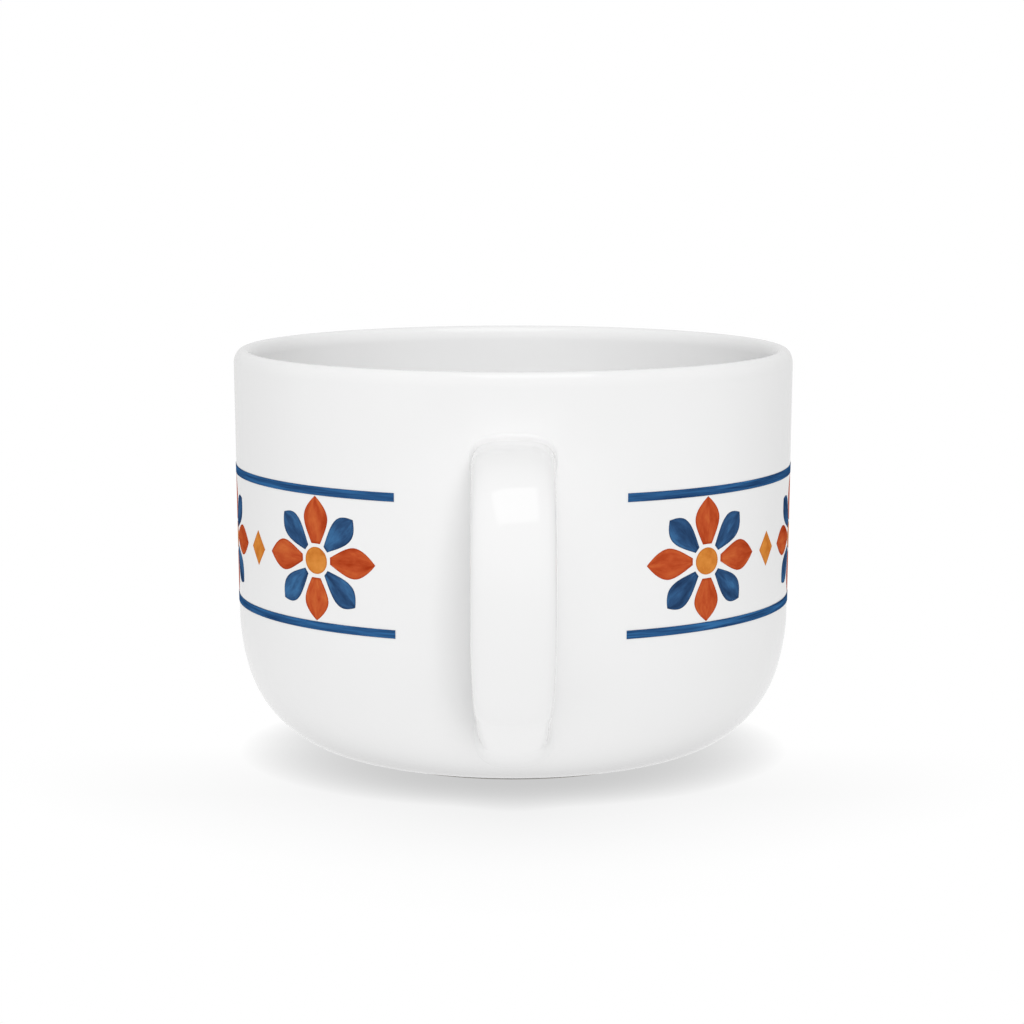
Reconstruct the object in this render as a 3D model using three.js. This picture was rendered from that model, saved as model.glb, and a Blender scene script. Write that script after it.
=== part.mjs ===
import * as THREE from 'three';

const { degToRad, lerp } = THREE.MathUtils;

// All lengths are in mm. The mug's axis is Z, the table is z = 0 and the handle points to -Y.

// Bowl
const RIM_RADIUS = 50.8;
const HEIGHT = 74.2;
const WALL = 3.4;
const WALL_DRAFT = degToRad(0.77);
const EASE_RADIUS = 38.5;
const EASE_TURN = degToRad(17);
const CORNER_RADIUS = 21;
const FLOOR_HEIGHT = 5.8;
const FOOT_DROP = 0.8;
const FOOT_WIDTH = 3.4;
const FOOT_CHAMFER = 0.4;
const RECESS_DEPTH = 1.8;
const RECESS_SLOPE = 0.8;

// Handle, measured along its outer face
const HANDLE_DROP = 11;
const HANDLE_REACH = 32;
const TOP_BEND = 22;
const LOW_BEND = 26;
const LOW_BEND_TOP = 41.1;
const LOW_TURN = degToRad(66);
const STRAP_WIDTH = 13.8;
const NECK_WIDTH = 12.2;
const UPPER_THICKNESS = 7.6;
const LOWER_THICKNESS = 6.4;
const STRAP_SQUARENESS = 2.8;

// Where the strap starts to narrow, as a share of its length, how gently it does so, and the
// share of its width that the coped lower end goes on losing with each mm
const NECK_START = 0.6;
const NECK_EASE = 1.2;
const NECK_TAPER = 0.007;

// Distance off the rim's radius from which each end runs straight on and is coped to the wall
const UPPER_COPED_END = 5;
const LOWER_COPED_END = 5;

// Fillets of the two ends: how far off the wall they start, and their spread at the wall
const UPPER_FILLET_REACH = 3.2;
const UPPER_FILLET_SIDE = 0.6;
const UPPER_FILLET_RISE = 1;
const LOWER_FILLET_REACH = 3.6;
const LOWER_FILLET_SIDE = 1.3;
const LOWER_FILLET_RISE = 0.6;

// Luting joints, each a bead of slip between a coped end and the wall
const LUTE_DEPTH = 2.4;
const SEAT_GAP = 0.3;

// Steps of the curves
const TURN_STEPS = 72;
const EASE_STEPS = 4;
const CORNER_STEPS = 8;
const LIP_STEPS = 8;
const STRAP_STEPS = 40;
const SECTION_STEPS = 24;
const FILLET_STEPS = 4;
const LUTE_STEPS = 6;
const CAP_STEPS = 4;
const FARTHEST_COPE = 4 * LOWER_COPED_END;
const COPE_HALVINGS = 40;

// One side of the bowl in section: a drafted wall, a slow ease and a corner that runs out level
function bowlSide(topRadius, easeRadius, cornerRadius, levelZ) {
  const topZ = HEIGHT - WALL / 2;
  const easeDrop = easeRadius * (Math.sin(EASE_TURN) - Math.sin(WALL_DRAFT));
  const cornerDrop = cornerRadius * (1 - Math.sin(EASE_TURN));
  const easeZ = levelZ + cornerDrop + easeDrop;
  const easeTopRadius = topRadius - (topZ - easeZ) * Math.tan(WALL_DRAFT);
  const easeCentre = new THREE.Vector2(
    easeTopRadius - easeRadius * Math.cos(WALL_DRAFT),
    easeZ + easeRadius * Math.sin(WALL_DRAFT),
  );
  const cornerCentre = new THREE.Vector2(
    easeCentre.x + (easeRadius - cornerRadius) * Math.cos(EASE_TURN),
    easeCentre.y - (easeRadius - cornerRadius) * Math.sin(EASE_TURN),
  );
  return { topRadius, topZ, easeRadius, cornerRadius, easeZ, easeCentre, cornerCentre };
}

function arcPoints(centre, radius, from, to, steps) {
  return Array.from({ length: steps + 1 }, (_, i) => {
    const angle = lerp(from, to, i / steps);
    return new THREE.Vector2(
      centre.x + radius * Math.cos(angle),
      centre.y + radius * Math.sin(angle),
    );
  });
}

// The side from its level end up to the lip
function sidePoints(side) {
  const corner = arcPoints(
    side.cornerCentre, side.cornerRadius, -Math.PI / 2, -EASE_TURN, CORNER_STEPS,
  );
  const ease = arcPoints(side.easeCentre, side.easeRadius, -EASE_TURN, -WALL_DRAFT, EASE_STEPS);
  return [...corner, ...ease.slice(1)];
}

const outside = bowlSide(RIM_RADIUS, EASE_RADIUS, CORNER_RADIUS, FOOT_DROP);
const inside = bowlSide(
  RIM_RADIUS - WALL, EASE_RADIUS - WALL, CORNER_RADIUS - WALL, FLOOR_HEIGHT,
);

// Radius of the outer wall at a height above the corner's end
function wallRadius(z) {
  if (z >= outside.easeZ) {
    return outside.topRadius - (outside.topZ - z) * Math.tan(WALL_DRAFT);
  }
  const easeEnd = outside.easeCentre.y - EASE_RADIUS * Math.sin(EASE_TURN);
  const [centre, radius] = z >= easeEnd
    ? [outside.easeCentre, EASE_RADIUS]
    : [outside.cornerCentre, CORNER_RADIUS];
  return centre.x + Math.sqrt(radius ** 2 - (z - centre.y) ** 2);
}

function makeBowl() {
  const footRadius = outside.cornerCentre.x;
  const ringInner = footRadius - FOOT_WIDTH;
  const underside = [
    new THREE.Vector2(0, RECESS_DEPTH),
    new THREE.Vector2(ringInner - RECESS_SLOPE, RECESS_DEPTH),
    new THREE.Vector2(ringInner, 0),
    new THREE.Vector2(footRadius - FOOT_CHAMFER, 0),
    new THREE.Vector2(footRadius, FOOT_CHAMFER),
  ];
  const lipCentre = new THREE.Vector2(RIM_RADIUS - WALL / 2, HEIGHT - WALL / 2);
  const lip = arcPoints(lipCentre, WALL / 2, 0, Math.PI, LIP_STEPS);
  const profile = [
    ...underside,
    ...sidePoints(outside),
    ...lip,
    ...sidePoints(inside).reverse(),
    new THREE.Vector2(0, FLOOR_HEIGHT),
  ];
  return new THREE.LatheGeometry(profile, TURN_STEPS).rotateX(Math.PI / 2);
}

// Skins a row of closed rings and caps both ends with a fan
function loft(rings) {
  const count = rings[0].length;
  const centres = [rings[0], rings.at(-1)].map((ring) => ring
    .reduce((sum, point) => sum.add(point), new THREE.Vector3())
    .divideScalar(count));
  const points = [...rings.flat(), ...centres];
  const firstCentre = points.length - 2;
  const lastCentre = points.length - 1;
  const lastRing = (rings.length - 1) * count;
  const index = [];
  for (let k = 0; k < count; k++) {
    const next = (k + 1) % count;
    index.push(firstCentre, k, next);
    index.push(lastCentre, lastRing + next, lastRing + k);
    for (let start = 0; start < lastRing; start += count) {
      index.push(start + k, start + count + k, start + next);
      index.push(start + next, start + count + k, start + count + next);
    }
  }
  const geometry = new THREE.BufferGeometry().setFromPoints(points);
  geometry.setIndex(index);
  geometry.computeVertexNormals();
  return geometry;
}

// Crowned section of the strap, a superellipse: x across it, y from its outer face inwards
function strapSection(width, thickness, side, rise) {
  const squared = (value) => Math.sign(value) * Math.abs(value) ** (2 / STRAP_SQUARENESS);
  return Array.from({ length: SECTION_STEPS }, (_, i) => {
    const angle = 2 * Math.PI * i / SECTION_STEPS;
    return new THREE.Vector2(
      (width / 2 + side) * squared(Math.cos(angle)),
      thickness / 2 + (thickness / 2 + rise) * squared(Math.sin(angle)),
    );
  });
}

// The outer face in side view: distance from the axis and height
function strapPath() {
  const reach = RIM_RADIUS + HANDLE_REACH;
  const lowRoot = RIM_RADIUS + LOWER_COPED_END;
  const top = HEIGHT - HANDLE_DROP;
  const bendEnd = new THREE.Vector2(
    reach - LOW_BEND * (1 - Math.cos(LOW_TURN)),
    LOW_BEND_TOP - LOW_BEND * Math.sin(LOW_TURN),
  );
  const path = new THREE.Path();
  path.moveTo(RIM_RADIUS + UPPER_COPED_END, top);
  path.lineTo(reach - TOP_BEND, top);
  path.absarc(reach - TOP_BEND, top - TOP_BEND, TOP_BEND, Math.PI / 2, 0, true);
  path.lineTo(reach, LOW_BEND_TOP);
  path.absarc(reach - LOW_BEND, LOW_BEND_TOP, LOW_BEND, 0, -LOW_TURN, true);
  path.lineTo(lowRoot, bendEnd.y - (bendEnd.x - lowRoot) / Math.tan(LOW_TURN));
  return path;
}

// A section of the strap, which can spread sideways and in thickness or shrink about its middle
function strapRing(path, share, { side, rise } = { side: 0, rise: 0 }, shrink = 1) {
  const face = path.getPointAt(share);
  const along = path.getTangentAt(share);
  const inward = new THREE.Vector2(along.y, -along.x);
  const neck = Math.max((share - NECK_START) / (1 - NECK_START), 0) ** NECK_EASE;
  const width = lerp(STRAP_WIDTH, NECK_WIDTH, neck);
  const thickness = lerp(UPPER_THICKNESS, LOWER_THICKNESS, share);
  return strapSection(width, thickness, side, rise).map(({ x, y }) => {
    const depth = lerp(thickness / 2, y, shrink);
    return new THREE.Vector3(
      x * shrink, -(face.x + inward.x * depth), face.y + inward.y * depth,
    );
  });
}

// Spread of an end at a distance off the wall: a quarter of an ellipse that meets the wall flush
function filletSpread(share, standOff) {
  const [reach, side, rise] = share === 0
    ? [UPPER_FILLET_REACH, UPPER_FILLET_SIDE, UPPER_FILLET_RISE]
    : [LOWER_FILLET_REACH, LOWER_FILLET_SIDE, LOWER_FILLET_RISE];
  const nearness = 1 - Math.min(standOff / reach, 1);
  const spread = 1 - Math.sqrt(1 - nearness ** 2);
  return { side: side * spread, rise: rise * spread };
}

// Carries an end section straight on until it stands a given distance off the wall
function copedRing(path, share, standOff, shrink = 1) {
  const along = path.getTangentAt(share).multiplyScalar(share === 0 ? -1 : 1);
  const taper = share === 0 ? 0 : NECK_TAPER;
  return strapRing(path, share, filletSpread(share, standOff), shrink).map((start) => {
    const step = new THREE.Vector3(-start.x * taper, -along.x, along.y);
    let [near, far] = [0, FARTHEST_COPE];
    for (let i = 0; i < COPE_HALVINGS; i++) {
      const middle = (near + far) / 2;
      const { x, y, z } = start.clone().addScaledVector(step, middle);
      if (Math.hypot(x, y) > wallRadius(z) + standOff) near = middle;
      else far = middle;
    }
    return start.addScaledVector(step, near);
  });
}

// Rings from one distance off the wall to another
function copedRings(path, share, from, to, steps) {
  return Array.from(
    { length: steps + 1 },
    (_, i) => copedRing(path, share, lerp(from, to, i / steps)),
  );
}

// Smaller and smaller rings that follow the wall's curve across an end, the largest last
function capRings(path, share, standOff) {
  return Array.from(
    { length: CAP_STEPS - 1 },
    (_, i) => copedRing(path, share, standOff, (i + 1) / CAP_STEPS),
  );
}

function makeHandle(path) {
  const seat = LUTE_DEPTH + SEAT_GAP;
  return loft([
    ...capRings(path, 0, seat),
    ...copedRings(path, 0, seat, UPPER_FILLET_REACH, FILLET_STEPS),
    ...Array.from({ length: STRAP_STEPS + 1 }, (_, i) => strapRing(path, i / STRAP_STEPS)),
    ...copedRings(path, 1, LOWER_FILLET_REACH, seat, FILLET_STEPS),
    ...capRings(path, 1, seat).reverse(),
  ]);
}

// The bead at the strap's upper end (share 0) or lower end (share 1), which ends the fillet
function makeLute(path, share) {
  const rings = [
    ...capRings(path, share, LUTE_DEPTH),
    ...copedRings(path, share, LUTE_DEPTH, SEAT_GAP, LUTE_STEPS),
    ...capRings(path, share, SEAT_GAP).reverse(),
  ];
  return loft(share === 0 ? rings.reverse() : rings);
}

const GLAZE = { color: 0xf2f0ec, roughness: 0.1, metalness: 0 };

function piece(name, geometry) {
  const mesh = new THREE.Mesh(geometry, new THREE.MeshStandardMaterial(GLAZE));
  mesh.name = name;
  return mesh;
}

const path = strapPath();
const mug = new THREE.Group();
mug.add(
  piece('bowl', makeBowl()),
  piece('handle', makeHandle(path)),
  piece('upper_lute', makeLute(path, 0)),
  piece('lower_lute', makeLute(path, 1)),
);

// The frame's origin is under the middle of the footprint, handle included
mug.position.y = HANDLE_REACH / 2;

const part = new THREE.Group();
part.add(mug);

export default part;
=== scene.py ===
import math

import bmesh
import bpy
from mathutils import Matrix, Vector


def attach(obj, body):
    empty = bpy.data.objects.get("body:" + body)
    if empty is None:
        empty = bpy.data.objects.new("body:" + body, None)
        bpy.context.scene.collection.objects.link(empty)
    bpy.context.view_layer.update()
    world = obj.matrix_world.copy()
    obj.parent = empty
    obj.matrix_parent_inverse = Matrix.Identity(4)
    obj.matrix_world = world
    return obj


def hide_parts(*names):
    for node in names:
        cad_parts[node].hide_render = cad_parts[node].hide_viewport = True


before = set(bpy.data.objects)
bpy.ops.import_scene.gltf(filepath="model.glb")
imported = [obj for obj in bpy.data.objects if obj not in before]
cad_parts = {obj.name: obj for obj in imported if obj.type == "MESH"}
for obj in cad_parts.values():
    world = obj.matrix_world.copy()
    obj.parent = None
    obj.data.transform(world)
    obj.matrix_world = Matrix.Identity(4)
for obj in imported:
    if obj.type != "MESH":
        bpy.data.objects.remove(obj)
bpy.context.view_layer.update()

# Bowl
# The body of the mug: white earthenware, jiggered to an even wall, with a sponged lip and a turned
# foot ring. Clear gloss glaze covers it all but the flat of the foot ring, which is wiped bare.
MM = 0.001
AXIS_Y = 16 * MM
RIM_RADIUS = 50.8 * MM
HEIGHT = 74.2 * MM
WALL = 3.4 * MM
WALL_DRAFT = math.radians(0.77)
EASE_RADIUS = 38.5 * MM
EASE_TURN = math.radians(17)
CORNER_RADIUS = 21 * MM
FLOOR_HEIGHT = 5.8 * MM
FOOT_DROP = 0.8 * MM
FOOT_WIDTH = 3.4 * MM
FOOT_ROUND = 0.4 * MM
RECESS_DEPTH = 1.8 * MM
RECESS_SLOPE = 0.8 * MM
RECESS_MEETS_RING = -math.pi * 5 / 6
LIP_HEIGHT = 2.6 * MM
CORNER_STEPS = 24
EASE_STEPS = 10
LIP_STEPS = 24
RING_INNER_STEPS = 5
RING_OUTER_STEPS = 6
TURN_STEPS = 256
WELD = 0.001 * MM
SMOOTH_UP_TO = math.radians(40)


def arc(centre, radius, start, end, steps):
    """Points of an arc in the bowl's section, each a distance from the axis and a height."""
    turns = [start + (end - start) * i / steps for i in range(steps + 1)]
    return [(centre[0] + radius * math.cos(t), centre[1] + radius * math.sin(t)) for t in turns]


def bowl_side(top_radius, ease_radius, corner_radius, level):
    """Centres of the slow ease and of the tighter corner that runs out level, and the ease's top."""
    ease_drop = ease_radius * (math.sin(EASE_TURN) - math.sin(WALL_DRAFT))
    corner_drop = corner_radius * (1 - math.sin(EASE_TURN))
    ease_top = level + corner_drop + ease_drop
    taper = (HEIGHT - WALL / 2 - ease_top) * math.tan(WALL_DRAFT)
    ease_x = top_radius - taper - ease_radius * math.cos(WALL_DRAFT)
    ease_z = ease_top + ease_radius * math.sin(WALL_DRAFT)
    apart = ease_radius - corner_radius
    corner = (ease_x + apart * math.cos(EASE_TURN), ease_z - apart * math.sin(EASE_TURN))
    return (ease_x, ease_z), corner, ease_top


def side_points(ease, corner, ease_radius, corner_radius):
    """The side from its level end up to where the straight wall starts."""
    low = arc(corner, corner_radius, -math.pi / 2, -EASE_TURN, CORNER_STEPS)
    return low + arc(ease, ease_radius, -EASE_TURN, -WALL_DRAFT, EASE_STEPS)[1:]


outer_ease, outer_corner, outer_ease_top = bowl_side(
    RIM_RADIUS, EASE_RADIUS, CORNER_RADIUS, FOOT_DROP
)
inner_ease, inner_corner, _ = bowl_side(
    RIM_RADIUS - WALL, EASE_RADIUS - WALL, CORNER_RADIUS - WALL, FLOOR_HEIGHT
)


def wall_radius(z):
    """Radius of the outer wall at a height."""
    if z >= outer_ease_top:
        return RIM_RADIUS - (HEIGHT - WALL / 2 - z) * math.tan(WALL_DRAFT)
    if z >= outer_ease[1] - EASE_RADIUS * math.sin(EASE_TURN):
        return outer_ease[0] + math.sqrt(EASE_RADIUS**2 - (z - outer_ease[1]) ** 2)
    return outer_corner[0] + math.sqrt(CORNER_RADIUS**2 - (z - outer_corner[1]) ** 2)


foot_radius = outer_corner[0]
ring_inner = foot_radius - FOOT_WIDTH
bowl_profile = [(0, RECESS_DEPTH), (ring_inner - RECESS_SLOPE, RECESS_DEPTH)]
bowl_profile += arc(
    (ring_inner + FOOT_ROUND, FOOT_ROUND),
    FOOT_ROUND,
    RECESS_MEETS_RING,
    -math.pi / 2,
    RING_INNER_STEPS,
)
bowl_profile += arc(
    (foot_radius - FOOT_ROUND, FOOT_ROUND), FOOT_ROUND, -math.pi / 2, 0, RING_OUTER_STEPS
)
bowl_profile += side_points(outer_ease, outer_corner, EASE_RADIUS, CORNER_RADIUS)
# The lip is half an oval, a little taller than a round one would be.
lip = arc((0, 0), 1, 0, math.pi, LIP_STEPS)
bowl_profile += [
    (RIM_RADIUS - WALL / 2 * (1 - x), HEIGHT - LIP_HEIGHT * (1 - z)) for x, z in lip
]
bowl_profile += side_points(
    inner_ease, inner_corner, EASE_RADIUS - WALL, CORNER_RADIUS - WALL
)[::-1]
bowl_profile.append((0, FLOOR_HEIGHT))

bpy.ops.object.select_all(action="DESELECT")
bpy.ops.mesh.primitive_plane_add(size=MM)
bowl = bpy.context.object
bowl.name = "glazed_bowl"
bpy.ops.object.mode_set(mode="EDIT")
bpy.ops.mesh.select_all(action="SELECT")
bpy.ops.mesh.merge(type="CENTER")
bpy.ops.transform.translate(value=(0, AXIS_Y, RECESS_DEPTH))
for (x0, z0), (x1, z1) in zip(bowl_profile, bowl_profile[1:]):
    bpy.ops.mesh.extrude_region_move(TRANSFORM_OT_translate={"value": (x1 - x0, 0, z1 - z0)})
bpy.ops.mesh.select_all(action="SELECT")
bpy.ops.mesh.spin(steps=TURN_STEPS, angle=math.tau, center=(0, AXIS_Y, 0), axis=(0, 0, 1))
bpy.ops.mesh.select_all(action="SELECT")
bpy.ops.mesh.remove_doubles(threshold=WELD)
bpy.ops.mesh.normals_make_consistent(inside=False)
bpy.ops.object.mode_set(mode="OBJECT")
bpy.ops.object.shade_smooth_by_angle(angle=SMOOTH_UP_TO)


def linear(hex_colour):
    """An sRGB hex colour as the linear RGBA that shader sockets hold."""
    values = [int(hex_colour[i : i + 2], 16) / 255 for i in (1, 3, 5)]
    return [v / 12.92 if v <= 0.04045 else ((v + 0.055) / 1.055) ** 2.4 for v in values] + [1]


def add(tree, kind, sockets, **settings):
    """Adds a node with its settings. A socket's entry is a value, or another node's output to link."""
    node = tree.nodes.new(kind)
    for name, value in settings.items():
        setattr(node, name, value)
    for name, value in sockets.items():
        if isinstance(value, bpy.types.NodeSocket):
            tree.links.new(value, node.inputs[name])
        else:
            node.inputs[name].default_value = value
    return node


def new_material(name):
    """An empty node material and its tree."""
    material = bpy.data.materials.new(name)
    material.use_nodes = True
    material.node_tree.nodes.clear()
    return material, material.node_tree


# Clear gloss glaze over white earthenware: a poured glass coat about 0.3 mm thick, which sags into
# long shallow waves and pools a trace greyer in places. The eye sees it only in the highlights.
GLAZE_POOL = 22 * MM
GLAZE_WAVE = 9 * MM
GLAZE_WAVE_DEPTH = 0.05 * MM
white_glaze, tree = new_material("clear_gloss_glaze_on_white_earthenware")
place = add(tree, "ShaderNodeTexCoord", {})
pooling = add(
    tree,
    "ShaderNodeTexNoise",
    {"Vector": place.outputs["Object"], "Scale": 1 / GLAZE_POOL, "Detail": 2.0},
)
glaze_colour = add(
    tree,
    "ShaderNodeMix",
    {
        "Factor": pooling.outputs["Fac"],
        "A": linear("#f1f1f1"),
        "B": linear("#ededed"),
    },
    data_type="RGBA",
)
glaze_gloss = add(
    tree,
    "ShaderNodeMapRange",
    {"Value": pooling.outputs["Fac"], "To Min": 0.02, "To Max": 0.05},
)
sag = add(
    tree,
    "ShaderNodeTexNoise",
    {"Vector": place.outputs["Object"], "Scale": 1 / GLAZE_WAVE, "Detail": 1.0},
)
glaze_waves = add(
    tree,
    "ShaderNodeBump",
    {"Height": sag.outputs["Fac"], "Strength": 0.25, "Distance": GLAZE_WAVE_DEPTH},
)
glaze_shader = add(
    tree,
    "ShaderNodeBsdfPrincipled",
    {
        "Base Color": glaze_colour.outputs["Result"],
        "Roughness": glaze_gloss.outputs["Result"],
        "Normal": glaze_waves.outputs["Normal"],
        "IOR": 1.5,
    },
)
add(tree, "ShaderNodeOutputMaterial", {"Surface": glaze_shader.outputs["BSDF"]})

# Bare white earthenware: fired clay wiped clean of glaze, matt and a little warmer. Its fine grog gives
# the ring under the mug a speckled, sandy look beside the glaze.
GROG_GRAIN = 0.6 * MM
GROG_DEPTH = 0.04 * MM
bare_clay, tree = new_material("bare_white_earthenware")
place = add(tree, "ShaderNodeTexCoord", {})
grog = add(
    tree,
    "ShaderNodeTexNoise",
    {"Vector": place.outputs["Object"], "Scale": 1 / GROG_GRAIN, "Detail": 3.0},
)
clay_colour = add(
    tree,
    "ShaderNodeMix",
    {
        "Factor": grog.outputs["Fac"],
        "A": linear("#d8cfc0"),
        "B": linear("#e4dccf"),
    },
    data_type="RGBA",
)
clay_chalk = add(
    tree,
    "ShaderNodeMapRange",
    {"Value": grog.outputs["Fac"], "To Min": 0.7, "To Max": 0.9},
)
clay_tooth = add(
    tree,
    "ShaderNodeBump",
    {"Height": grog.outputs["Fac"], "Strength": 0.4, "Distance": GROG_DEPTH},
)
clay_shader = add(
    tree,
    "ShaderNodeBsdfPrincipled",
    {
        "Base Color": clay_colour.outputs["Result"],
        "Roughness": clay_chalk.outputs["Result"],
        "Normal": clay_tooth.outputs["Normal"],
    },
)
add(tree, "ShaderNodeOutputMaterial", {"Surface": clay_shader.outputs["BSDF"]})

bowl.data.materials.append(white_glaze)
bowl.data.materials.append(bare_clay)
for face in bowl.data.polygons:
    if face.center.z < FOOT_ROUND / 4:
        face.material_index = 1
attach(bowl, "root")
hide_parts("bowl")

# Handle and its two luting beads
# A strap cast on its own, coped to the wall and stuck on with slip at both ends. The slip is wiped
# to a fillet and the glaze runs over strap and beads in one skin, so one piece stands for all three.
HANDLE_DROP = 11 * MM
HANDLE_REACH = 32 * MM
TOP_BEND = 22 * MM
LOW_BEND = 26 * MM
LOW_BEND_TOP = 41.1 * MM
LOW_TURN = math.radians(66)
STRAP_WIDTH = 13.8 * MM
NECK_WIDTH = 12.2 * MM
UPPER_THICKNESS = 7.6 * MM
LOWER_THICKNESS = 6.4 * MM
STRAP_SQUARENESS = 2.8
NECK_START = 0.6
NECK_EASE = 1.2
NECK_TAPER = 0.007 / MM
UPPER_COPED_END = 5 * MM
LOWER_COPED_END = 5 * MM
# A fillet's reach along the strap, and its spread at the wall to each side and in thickness
UPPER_FILLET = (3.2 * MM, 0.6 * MM, 1 * MM)
LOWER_FILLET = (3.6 * MM, 1.3 * MM, 0.6 * MM)
SUNK_IN_WALL = 0.3 * MM
COPE_SEARCH = 20 * MM
COPE_HALVINGS = 40
SECTION_STEPS = 56
STRAP_STEPS = 110
FILLET_STEPS = 14
STRAP_SMOOTH_UP_TO = math.radians(50)

strap_reach = RIM_RADIUS + HANDLE_REACH
strap_root = RIM_RADIUS + UPPER_COPED_END
strap_top = HEIGHT - HANDLE_DROP
lower_bend_end = strap_reach - LOW_BEND * (1 - math.cos(LOW_TURN))
lower_arm = lower_bend_end - RIM_RADIUS - LOWER_COPED_END
strap_runs = [
    (strap_reach - TOP_BEND - strap_root, None),
    (TOP_BEND * math.pi / 2, TOP_BEND),
    (strap_top - TOP_BEND - LOW_BEND_TOP, None),
    (LOW_BEND * LOW_TURN, LOW_BEND),
    (lower_arm / math.sin(LOW_TURN), None),
]
strap_length = sum(length for length, _ in strap_runs)


def along_strap(share):
    """Where the strap's outer face is at a share of its length, and how far it has turned down."""
    left = share * strap_length
    x, z, turn = strap_root, strap_top, 0.0
    for length, bend in strap_runs:
        step = min(left, length)
        left -= step
        if bend:
            x += bend * (math.sin(turn + step / bend) - math.sin(turn))
            z += bend * (math.cos(turn + step / bend) - math.cos(turn))
            turn += step / bend
        else:
            x += step * math.cos(turn)
            z -= step * math.sin(turn)
    return x, z, turn


def strap_point(share, angle, side, rise):
    """One point of the strap's crowned section, and the way the strap runs there."""
    x, z, turn = along_strap(share)
    neck = max((share - NECK_START) / (1 - NECK_START), 0) ** NECK_EASE
    width = STRAP_WIDTH + (NECK_WIDTH - STRAP_WIDTH) * neck
    half = (UPPER_THICKNESS + (LOWER_THICKNESS - UPPER_THICKNESS) * share) / 2
    power = 2 / STRAP_SQUARENESS
    cos, sin = math.cos(angle), math.sin(angle)
    across = (width / 2 + side) * math.copysign(abs(cos) ** power, cos)
    depth = half + (half + rise) * math.copysign(abs(sin) ** power, sin)
    point = Vector((across, -x + math.sin(turn) * depth, z - math.cos(turn) * depth))
    return point, Vector((0, -math.cos(turn), -math.sin(turn)))


def coped_point(share, angle, side, rise, stand_off):
    """A point of an end section carried straight on until it stands that far off the wall."""
    start, run = strap_point(share, angle, side, rise)
    towards = run - Vector((start.x * NECK_TAPER, 0, 0)) if share else -run
    near, far = 0.0, COPE_SEARCH
    for _ in range(COPE_HALVINGS):
        middle = (near + far) / 2
        point = start + towards * middle
        if math.hypot(point.x, point.y) > wall_radius(point.z) + stand_off:
            near = middle
        else:
            far = middle
    return start + towards * near


def fillet_station(share, step):
    """The section in an end's fillet, from sunk in the wall (step 0) out to the plain strap."""
    reach, side, rise = LOWER_FILLET if share else UPPER_FILLET
    turn = math.pi / 2 * max(step - 1, 0) / FILLET_STEPS
    spread = 1 - math.sin(turn)
    stand_off = reach * (1 - math.cos(turn)) if step else -SUNK_IN_WALL
    return lambda angle: coped_point(share, angle, side * spread, rise * spread, stand_off)


def strap_station(share):
    """The section of the strap at a share of its length."""
    return lambda angle: strap_point(share, angle, 0, 0)[0]


stations = [fillet_station(0, i) for i in range(FILLET_STEPS + 2)]
stations += [strap_station(i / STRAP_STEPS) for i in range(STRAP_STEPS + 1)]
stations += [fillet_station(1, i) for i in range(FILLET_STEPS + 2)][::-1]

bpy.ops.object.select_all(action="DESELECT")
bpy.ops.mesh.primitive_circle_add(
    vertices=SECTION_STEPS, radius=STRAP_WIDTH / 2, fill_type="NGON"
)
handle = bpy.context.object
handle.name = "glazed_handle"
bpy.ops.object.mode_set(mode="EDIT")
bpy.ops.mesh.select_all(action="SELECT")
shape = bmesh.from_edit_mesh(handle.data)
angle_of = shape.verts.layers.float.new("section_angle")
for vert in shape.verts:
    vert[angle_of] = math.atan2(vert.co.y, vert.co.x)
for i, station in enumerate(stations):
    if i:
        bpy.ops.mesh.extrude_region_move()
    shape = bmesh.from_edit_mesh(handle.data)
    angle_of = shape.verts.layers.float["section_angle"]
    for vert in shape.verts:
        if vert.select:
            vert.co = station(vert[angle_of]) + Vector((0, AXIS_Y, 0))
    bmesh.update_edit_mesh(handle.data)
bpy.ops.mesh.select_all(action="SELECT")
bpy.ops.mesh.remove_doubles(threshold=WELD)
bpy.ops.mesh.normals_make_consistent(inside=False)
bpy.ops.object.mode_set(mode="OBJECT")
bpy.ops.object.shade_smooth_by_angle(angle=STRAP_SMOOTH_UP_TO)
handle.data.attributes.remove(handle.data.attributes["section_angle"])
handle.data.materials.append(white_glaze)
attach(handle, "root")
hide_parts("handle", "upper_lute", "lower_lute")

# Printed band
# A ceramic transfer in three enamels, slid on to the glaze and fired in: two blue lines, and between
# them rosettes of pointed petals with a lozenge between each pair, a few hundredths of a mm thick.
PRINT_PROUD = 0.03 * MM
PRINT_THICKNESS = 0.05 * MM
PRINT_WELD = 0.002 * MM
PRINT_TURN = math.radians(-0.5)
ROSETTE_HEIGHT = HEIGHT - 33.65 * MM
ROSETTE_ANGLES = [math.radians(a) for a in (41.9, 83.5, 122.1, 160.7, 199.3, 237.9, 276.5, 318.1)]
LOZENGE_ANGLES = [(a + b) / 2 for a, b in zip(ROSETTE_ANGLES, ROSETTE_ANGLES[1:])]
LOZENGE_RISE = 0.08 * MM
LINE_GAP = math.radians(23)
LINES = ((53.46 * MM, 51.95 * MM), (29.9 * MM, 28.44 * MM))


def flat_sheet(name, columns, rows, spread, ends=1):
    """A sheet of enamel laid flat. spread places each point of a unit grid, by its way across and up.

    Each point keeps how near it is to the sheet's rim. With ends 0, only the two sides are rim.
    """
    bpy.ops.object.select_all(action="DESELECT")
    bpy.ops.mesh.primitive_grid_add(x_subdivisions=columns, y_subdivisions=rows, size=2)
    sheet = bpy.context.object
    sheet.name = name
    rim = sheet.data.attributes.new("rim", "FLOAT", "POINT")
    for i, vert in enumerate(sheet.data.vertices):
        across, up = vert.co.x, vert.co.y
        rim.data[i].value = max(abs(across), abs(up) * ends)
        vert.co = (*spread(across, (up + 1) / 2), 0)
    return sheet


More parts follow.
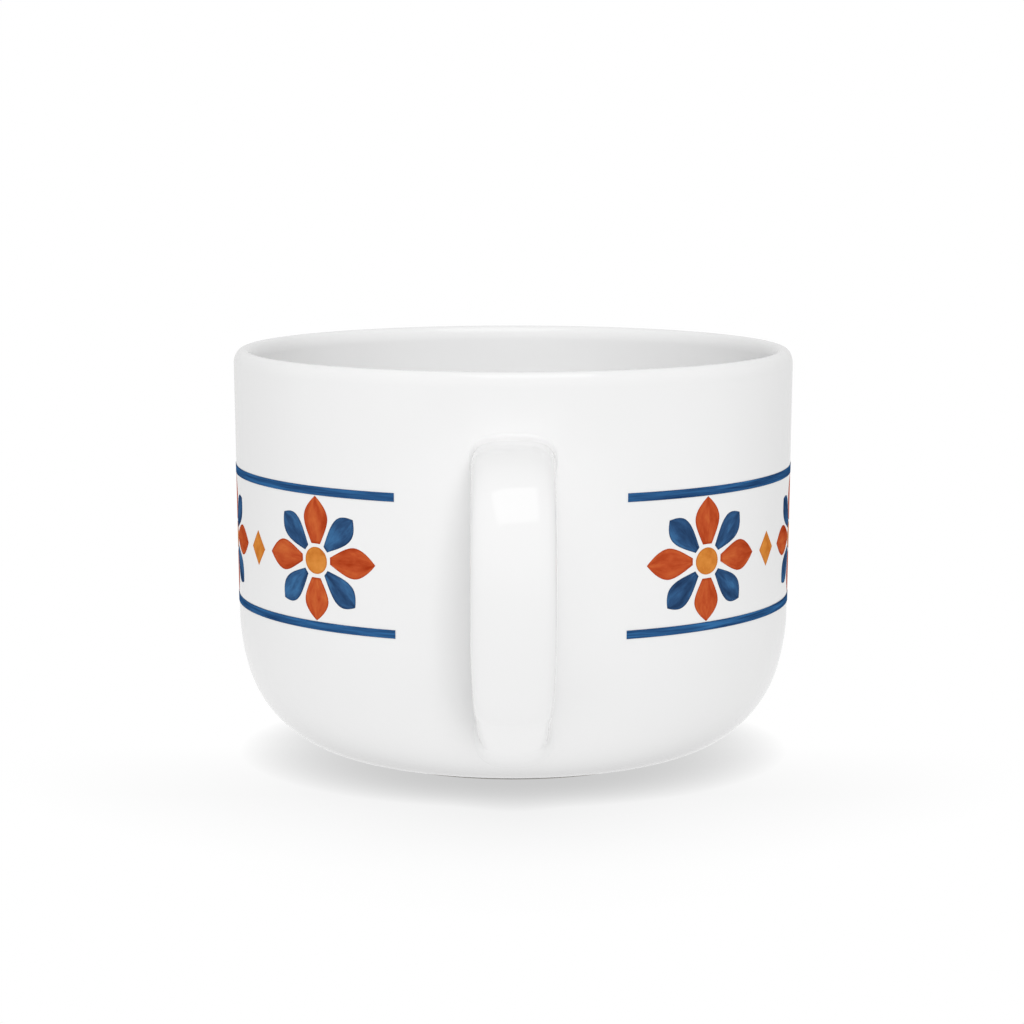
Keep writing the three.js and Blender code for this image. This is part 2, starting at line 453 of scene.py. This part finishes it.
def fire_on(sheet, angle, height, brush):
    """Rolls a flat sheet on to the wall, its middle at that angle from the handle, and thickens it.

    brush tells one stroke of the brush from another.
    """
    roll = wall_radius(ROSETTE_HEIGHT)
    for vert in sheet.data.vertices:
        turn = angle + PRINT_TURN + vert.co.x / roll
        z = height + vert.co.y
        radius = wall_radius(z) + PRINT_PROUD
        vert.co = (radius * math.sin(turn), AXIS_Y - radius * math.cos(turn), z)
    stroke = sheet.data.attributes.new("stroke", "FLOAT", "FACE")
    for value in stroke.data:
        value.value = brush
    bpy.ops.object.mode_set(mode="EDIT")
    bpy.ops.mesh.select_all(action="SELECT")
    bpy.ops.mesh.remove_doubles(threshold=PRINT_WELD)
    bpy.ops.object.mode_set(mode="OBJECT")
    coat = sheet.modifiers.new("coat", "SOLIDIFY")
    coat.thickness = PRINT_THICKNESS
    coat.offset = -1
    bpy.ops.object.modifier_apply(modifier="coat")
    return sheet


def as_one(name, sheets, material):
    """Joins the sheets that one enamel prints into one piece."""
    bpy.ops.object.select_all(action="DESELECT")
    for sheet in sheets:
        sheet.select_set(True)
    bpy.context.view_layer.objects.active = sheets[0]
    bpy.ops.object.join()
    piece = bpy.context.object
    piece.name = name
    piece.data.name = name
    piece.data.materials.clear()
    piece.data.materials.append(material)
    bpy.ops.object.shade_smooth_by_angle(angle=SMOOTH_UP_TO)
    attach(piece, "root")


DRIED_EDGE = 0.84
DRIED_DARKENING = 0.7
BRUSH_MARK_DEPTH = 0.02 * MM


def brushed_enamel(name, deep, middle, pale, shape, wash_size):
    """A brush-painted enamel, in washes of that width and length on a shape of that width and length.

    The eye sees patches of lighter and deeper colour along the stroke, and a darker line at the edge,
    where the colour gathers as it dries.
    """
    material, tree = new_material(name)
    washes = [whole / part for whole, part in zip(shape, wash_size)]
    brush = add(tree, "ShaderNodeUVMap", {}, uv_map="UVMap")
    stroke = add(tree, "ShaderNodeAttribute", {}, attribute_name="stroke")
    rim = add(tree, "ShaderNodeAttribute", {}, attribute_name="rim")
    spread = add(
        tree,
        "ShaderNodeVectorMath",
        {0: brush.outputs["UV"], 1: (*washes, 0.0)},
        operation="MULTIPLY",
    )
    apart = add(tree, "ShaderNodeCombineXYZ", {"Z": stroke.outputs["Fac"]})
    bristle = add(
        tree,
        "ShaderNodeVectorMath",
        {0: spread.outputs["Vector"], 1: apart.outputs["Vector"]},
        operation="ADD",
    )
    wash = add(
        tree,
        "ShaderNodeTexNoise",
        {"Vector": bristle.outputs["Vector"], "Scale": 1.0, "Detail": 4.0, "Roughness": 0.6},
    )
    tone = add(tree, "ShaderNodeValToRGB", {"Fac": wash.outputs["Fac"]})
    ramp = tone.color_ramp
    ramp.elements[0].position = 0.3
    ramp.elements[0].color = linear(deep)
    ramp.elements[1].position = 0.7
    ramp.elements[1].color = linear(pale)
    ramp.elements.new(0.5).color = linear(middle)
    dried = add(
        tree,
        "ShaderNodeMapRange",
        {"Value": rim.outputs["Fac"], "From Min": DRIED_EDGE, "To Max": DRIED_DARKENING},
        interpolation_type="SMOOTHSTEP",
    )
    edged = add(
        tree,
        "ShaderNodeMix",
        {
            "Factor": dried.outputs["Result"],
            "A": tone.outputs["Color"],
            "B": linear(deep),
        },
        data_type="RGBA",
    )
    satin = add(
        tree, "ShaderNodeMapRange", {"Value": wash.outputs["Fac"], "To Min": 0.5, "To Max": 0.7}
    )
    relief = add(
        tree,
        "ShaderNodeBump",
        {"Height": wash.outputs["Fac"], "Strength": 0.2, "Distance": BRUSH_MARK_DEPTH},
    )
    shader = add(
        tree,
        "ShaderNodeBsdfPrincipled",
        {
            "Base Color": edged.outputs["Result"],
            "Roughness": satin.outputs["Result"],
            "Normal": relief.outputs["Normal"],
            "Specular IOR Level": 0.0,
        },
    )
    add(tree, "ShaderNodeOutputMaterial", {"Surface": shader.outputs["BSDF"]})
    return material


blue_enamel = brushed_enamel(
    "brushed_blue_enamel",
    "#22395a",
    "#30517a",
    "#40709f",
    shape=(5.5 * MM, 8.4 * MM),
    wash_size=(2.5 * MM, 6 * MM),
)
blue_line_enamel = brushed_enamel(
    "lined_blue_enamel",
    "#1d3a63",
    "#2c5583",
    "#3a72a8",
    shape=(1.5 * MM, 277.2 * MM),
    wash_size=(0.5 * MM, 12.6 * MM),
)
terracotta_enamel = brushed_enamel(
    "brushed_terracotta_enamel",
    "#a33717",
    "#be522c",
    "#cf6a38",
    shape=(5.5 * MM, 8.4 * MM),
    wash_size=(2.5 * MM, 6 * MM),
)
amber_enamel = brushed_enamel(
    "brushed_amber_enamel",
    "#c3712c",
    "#d5863a",
    "#df9244",
    shape=(5.04 * MM, 5.04 * MM),
    wash_size=(2.8 * MM, 2.8 * MM),
)

PETAL_SWELL = 0.34
PETAL_GRID = (12, 30)
EYE_GRID = (16, 16)
LOZENGE_GRID = (8, 8)
LINE_GRID = (12, 280)


def petal(base, tip, base_width, width, widest, shoulder, turn, rise):
    """A pointed petal from near the rosette's middle out to its tip, turned clockwise from upright."""

    def spread(across, up):
        if up < widest:
            swell = up / widest
            swell += PETAL_SWELL * (swell - swell**4)
            whole = base_width + (width - base_width) * swell
        else:
            whole = width * (1 - ((up - widest) / (1 - widest)) ** shoulder)
        x, y = across * whole / 2, base + (tip - base) * up
        return (
            x * math.cos(turn) + y * math.sin(turn),
            y * math.cos(turn) - x * math.sin(turn) + rise,
        )

    return flat_sheet("petal", *PETAL_GRID, spread)


# Each petal's base, tip, base width, width, how far along it is widest, shoulder, turn and rise
TERRACOTTA_PETALS = (
    (2.95 * MM, 11.25 * MM, 2.1 * MM, 5.75 * MM, 0.54, 1.85, 0.0, 0.0),
    (3.35 * MM, 12.9 * MM, 1.2 * MM, 5.4 * MM, 0.55, 1.85, math.pi / 2, 0.2 * MM),
    (3.0 * MM, 10.5 * MM, 2.1 * MM, 5.65 * MM, 0.54, 1.85, math.pi, 0.0),
    (3.35 * MM, 12.9 * MM, 1.2 * MM, 5.4 * MM, 0.55, 1.85, -math.pi / 2, 0.2 * MM),
)
BLUE_PETALS = tuple(
    (3.1 * MM, 11.45 * MM, 1.2 * MM, 4.6 * MM, 0.61, 2.35, math.radians(turn), 0.0)
    for turn in (47.6, 130.5, -130.5, -47.6)
)
EYE_WIDTH = 5.25 * MM
EYE_HEIGHT = 4.7 * MM
LOZENGE_WIDTH = 5.6 * MM
LOZENGE_HEIGHT = 6.25 * MM
# Steps through the noise of the washes, from one rosette to the next and from one petal to the next
TERRACOTTA_STROKES = (11.3, 2.7)
BLUE_STROKES = (7.9, 3.1)
EYE_STROKES = 5.3
LOZENGE_STROKES = 3.7


def eye(across, up):
    """A disc from a square: each square ring of the grid becomes a round one."""
    reach = max(abs(across), abs(2 * up - 1))
    turn = math.atan2(2 * up - 1, across)
    return reach * EYE_WIDTH / 2 * math.cos(turn), reach * EYE_HEIGHT / 2 * math.sin(turn)


def lozenge(across, up):
    """A square set on its corner."""
    high = 2 * up - 1
    return (across - high) * LOZENGE_WIDTH / 4, (across + high) * LOZENGE_HEIGHT / 4


blue_sheets, line_sheets, terracotta_sheets, amber_sheets = [], [], [], []
for number, angle in enumerate(ROSETTE_ANGLES):
    for place, sizes in enumerate(TERRACOTTA_PETALS):
        brush = number * TERRACOTTA_STROKES[0] + place * TERRACOTTA_STROKES[1]
        terracotta_sheets.append(fire_on(petal(*sizes), angle, ROSETTE_HEIGHT, brush))
    for place, sizes in enumerate(BLUE_PETALS):
        brush = number * BLUE_STROKES[0] + place * BLUE_STROKES[1]
        blue_sheets.append(fire_on(petal(*sizes), angle, ROSETTE_HEIGHT, brush))
    sheet = flat_sheet("eye", *EYE_GRID, eye)
    amber_sheets.append(fire_on(sheet, angle, ROSETTE_HEIGHT, number * EYE_STROKES))
for number, angle in enumerate(LOZENGE_ANGLES):
    sheet = flat_sheet("lozenge", *LOZENGE_GRID, lozenge)
    brush = number * LOZENGE_STROKES + 1
    amber_sheets.append(fire_on(sheet, angle, ROSETTE_HEIGHT + LOZENGE_RISE, brush))

line_turn = math.tau - 2 * LINE_GAP
line_length = line_turn * wall_radius(ROSETTE_HEIGHT)


def line(depth):
    """A line of that depth, laid out along the whole of its length."""
    return lambda across, up: ((up - 0.5) * line_length, across * depth / 2)


for top, bottom in LINES:
    sheet = flat_sheet("line", *LINE_GRID, line(top - bottom), ends=0)
    line_sheets.append(fire_on(sheet, math.pi, (top + bottom) / 2, top / MM))

as_one("blue_print", blue_sheets, blue_enamel)
as_one("blue_lines", line_sheets, blue_line_enamel)
as_one("terracotta_print", terracotta_sheets, terracotta_enamel)
as_one("amber_print", amber_sheets, amber_enamel)

# Floor
# A sheet of matt white paper on a light table, burnt out to white. Its glow carries a painted shadow
# round the foot: darkened by ambient occlusion near the mug, and darker still in front of it. The
# surround's light comes up through it, and less of it close to the foot.
PAPER_SIZE = 12
CONTACT_REACH = 10 * MM
CONTACT_LEVEL = 0.68
SHADOW_REACH = 50 * MM
SHADOW_LEVEL = 0.79
SHADOW_FRONT = 40 * MM
SHADOW_SAMPLES = 8
MIRRORED_WHITE = 0.9
BEHIND_REACH = 200 * MM
BEHIND_LEVEL = 0.8
FOOT_SHADE_REACH = 17 * MM
FOOT_SHADE_LEVEL = 0.22
FOOT_SHADE_OVAL = (0.75, 1, 1)
bpy.ops.object.select_all(action="DESELECT")
bpy.ops.mesh.primitive_plane_add(size=PAPER_SIZE)
floor = bpy.context.object
floor.name = "paper_sheet"
paper, tree = new_material("matt_white_paper_with_painted_shadow")
paper.cycles.emission_sampling = "NONE"
# Painted shadow: the paper's glow is darkened where ambient occlusion finds the mug close by
contact = add(
    tree, "ShaderNodeAmbientOcclusion", {"Distance": CONTACT_REACH}, samples=SHADOW_SAMPLES
)
painted_contact_shadow = add(
    tree, "ShaderNodeMapRange", {"Value": contact.outputs["AO"], "To Min": CONTACT_LEVEL}
)
wide = add(
    tree, "ShaderNodeAmbientOcclusion", {"Distance": SHADOW_REACH}, samples=SHADOW_SAMPLES
)
place = add(tree, "ShaderNodeTexCoord", {})
spot = add(tree, "ShaderNodeSeparateXYZ", {"Vector": place.outputs["Object"]})
# Painted shade: the wide shadow is made darker in front of the mug
painted_shade_in_front = add(
    tree,
    "ShaderNodeMapRange",
    {
        "Value": spot.outputs["Y"],
        "From Min": AXIS_Y - SHADOW_FRONT,
        "From Max": AXIS_Y,
        "To Min": SHADOW_LEVEL,
    },
)
painted_wide_shadow = add(
    tree,
    "ShaderNodeMix",
    {"Factor": wide.outputs["AO"], "A": painted_shade_in_front.outputs["Result"], "B": 1.0},
)
painted_shadow_level = add(
    tree,
    "ShaderNodeMath",
    {0: painted_contact_shadow.outputs["Result"], 1: painted_wide_shadow.outputs["Result"]},
    operation="MULTIPLY",
)
rays = add(tree, "ShaderNodeLightPath", {})
# Painted reflection: glossy rays see the paper mostly at a level that dims behind the mug
mirrored = add(
    tree,
    "ShaderNodeMath",
    {0: rays.outputs["Is Glossy Ray"], 1: MIRRORED_WHITE},
    operation="MULTIPLY",
)
behind = add(
    tree,
    "ShaderNodeMapRange",
    {
        "Value": spot.outputs["Y"],
        "From Min": AXIS_Y,
        "From Max": AXIS_Y + BEHIND_REACH,
        "To Min": 1.0,
        "To Max": BEHIND_LEVEL,
    },
)
paper_painted_levels = add(
    tree,
    "ShaderNodeMix",
    {
        "Factor": mirrored.outputs["Value"],
        "A": painted_shadow_level.outputs["Value"],
        "B": behind.outputs["Result"],
    },
)
# The painted shadow and reflection levels set the strength of the paper's glow
paper_glow_with_painted_shadow = add(tree, "ShaderNodeEmission", {"Strength": paper_painted_levels.outputs["Result"]})
drawn_in = add(
    tree,
    "ShaderNodeVectorMath",
    {0: place.outputs["Object"], 1: FOOT_SHADE_OVAL},
    operation="MULTIPLY",
)
from_axis = add(
    tree,
    "ShaderNodeVectorMath",
    {0: drawn_in.outputs["Vector"], 1: (0, AXIS_Y, 0)},
    operation="DISTANCE",
)
closed_off = add(
    tree,
    "ShaderNodeMapRange",
    {
        "Value": from_axis.outputs["Value"],
        "From Min": foot_radius,
        "From Max": foot_radius + FOOT_SHADE_REACH,
        "To Min": FOOT_SHADE_LEVEL,
    },
)
paper_through = add(tree, "ShaderNodeBsdfTransparent", {"Color": closed_off.outputs["Result"]})
lighting = add(
    tree,
    "ShaderNodeMath",
    {0: rays.outputs["Is Diffuse Ray"], 1: rays.outputs["Is Shadow Ray"]},
    operation="MAXIMUM",
)
paper_light = add(
    tree,
    "ShaderNodeMixShader",
    {
        0: lighting.outputs["Value"],
        1: paper_glow_with_painted_shadow.outputs["Emission"],
        2: paper_through.outputs["BSDF"],
    },
)
add(tree, "ShaderNodeOutputMaterial", {"Surface": paper_light.outputs["Shader"]})
floor.data.materials.append(paper)

# Studio light
# A surround that is white to the camera and in the glaze, and lights the mug from above and, through
# the paper, from below. An overhead softbox gives the highlights. Key and fills aren't reflected.
LIGHT_ABOVE = 0.89
LIGHT_BELOW = 1.28
HORIZON = 0.1
BEHIND_FROM = 0.6
world = bpy.data.worlds.new("white_surround")
bpy.context.scene.world = world
world.use_nodes = True
tree = world.node_tree
tree.nodes.clear()
rays = add(tree, "ShaderNodeLightPath", {})
place = add(tree, "ShaderNodeTexCoord", {})
way = add(tree, "ShaderNodeSeparateXYZ", {"Vector": place.outputs["Generated"]})
across = add(
    tree, "ShaderNodeMath", {0: way.outputs["X"], 1: way.outputs["X"]}, operation="MULTIPLY"
)
along = add(
    tree, "ShaderNodeMath", {0: way.outputs["Y"], 1: way.outputs["Y"]}, operation="MULTIPLY"
)
above = add(
    tree,
    "ShaderNodeMapRange",
    {"Value": across.outputs["Value"], "To Min": LIGHT_ABOVE, "To Max": 0.0},
)
below = add(
    tree,
    "ShaderNodeMapRange",
    {"Value": along.outputs["Value"], "To Min": LIGHT_BELOW, "To Max": 0.0},
)
upper = add(
    tree,
    "ShaderNodeMapRange",
    {"Value": way.outputs["Z"], "From Min": -HORIZON, "From Max": HORIZON},
)
light = add(
    tree,
    "ShaderNodeMix",
    {
        "Factor": upper.outputs["Result"],
        "A": below.outputs["Result"],
        "B": above.outputs["Result"],
    },
)
shown = add(
    tree,
    "ShaderNodeMath",
    {0: rays.outputs["Is Camera Ray"], 1: rays.outputs["Is Glossy Ray"]},
    operation="MAXIMUM",
)
shown = add(
    tree,
    "ShaderNodeMath",
    {0: shown.outputs["Value"], 1: rays.outputs["Is Transmission Ray"]},
    operation="MAXIMUM",
)
behind = add(
    tree,
    "ShaderNodeMapRange",
    {
        "Value": way.outputs["Y"],
        "From Max": BEHIND_FROM,
        "To Min": 1.0,
        "To Max": BEHIND_LEVEL,
    },
)
backdrop = add(
    tree,
    "ShaderNodeMix",
    {"Factor": rays.outputs["Is Camera Ray"], "A": behind.outputs["Result"], "B": 1.0},
)
level = add(
    tree,
    "ShaderNodeMix",
    {
        "Factor": shown.outputs["Value"],
        "A": light.outputs["Result"],
        "B": backdrop.outputs["Result"],
    },
)
surround = add(
    tree,
    "ShaderNodeBackground",
    {"Color": (1, 1, 1, 1), "Strength": level.outputs["Result"]},
)
add(tree, "ShaderNodeOutputWorld", {"Surface": surround.outputs["Background"]})


def softbox(name, away, rise, aside, width, height, radiance):
    """A rectangular lamp that faces the mug from that far away, rise and aside being in degrees."""
    rise, aside = math.radians(rise), math.radians(aside)
    way = Vector(
        (
            math.cos(rise) * math.sin(aside),
            -math.cos(rise) * math.cos(aside),
            math.sin(rise),
        )
    )
    middle = Vector((0, AXIS_Y, HEIGHT / 2))
    bpy.ops.object.light_add(type="AREA", location=middle + way * away)
    lamp = bpy.context.object
    lamp.name = name
    lamp.rotation_euler = way.to_track_quat("Z", "Y").to_euler()
    lamp.data.shape = "RECTANGLE"
    lamp.data.size = width
    lamp.data.size_y = height
    lamp.data.energy = radiance * math.pi * width * height
    return lamp


softbox("overhead_softbox", away=0.9, rise=71, aside=13, width=0.56, height=0.55, radiance=1.1)
unreflected = [
    softbox("front_key", away=1.2, rise=18, aside=4.3, width=0.3, height=0.4, radiance=12.4),
    softbox("left_fill", away=1.2, rise=8, aside=-90, width=0.9, height=0.9, radiance=0.72),
    softbox("right_fill", away=1.2, rise=8, aside=90, width=0.9, height=0.9, radiance=0.17),
]
for lamp in unreflected:
    lamp.visible_glossy = False

# Camera
# A long lens straight in front of the handle, a little above the rim, as the photograph was taken.
CAMERA_ASIDE = -0.227 * MM
CAMERA_AWAY = 579.7 * MM
CAMERA_ABOVE_RIM = 49.76 * MM
CAMERA_PITCH = math.radians(90 - 7.871)
FILM_WIDTH = 36
LENS_LENGTH = 112.09
bpy.ops.object.camera_add(
    location=(CAMERA_ASIDE, AXIS_Y - CAMERA_AWAY, HEIGHT + CAMERA_ABOVE_RIM),
    rotation=(CAMERA_PITCH, 0, 0),
)
camera = bpy.context.object
camera.data.sensor_width = FILM_WIDTH
camera.data.lens = LENS_LENGTH
bpy.context.scene.camera = camera
bpy.context.scene.view_settings.view_transform = "Standard"
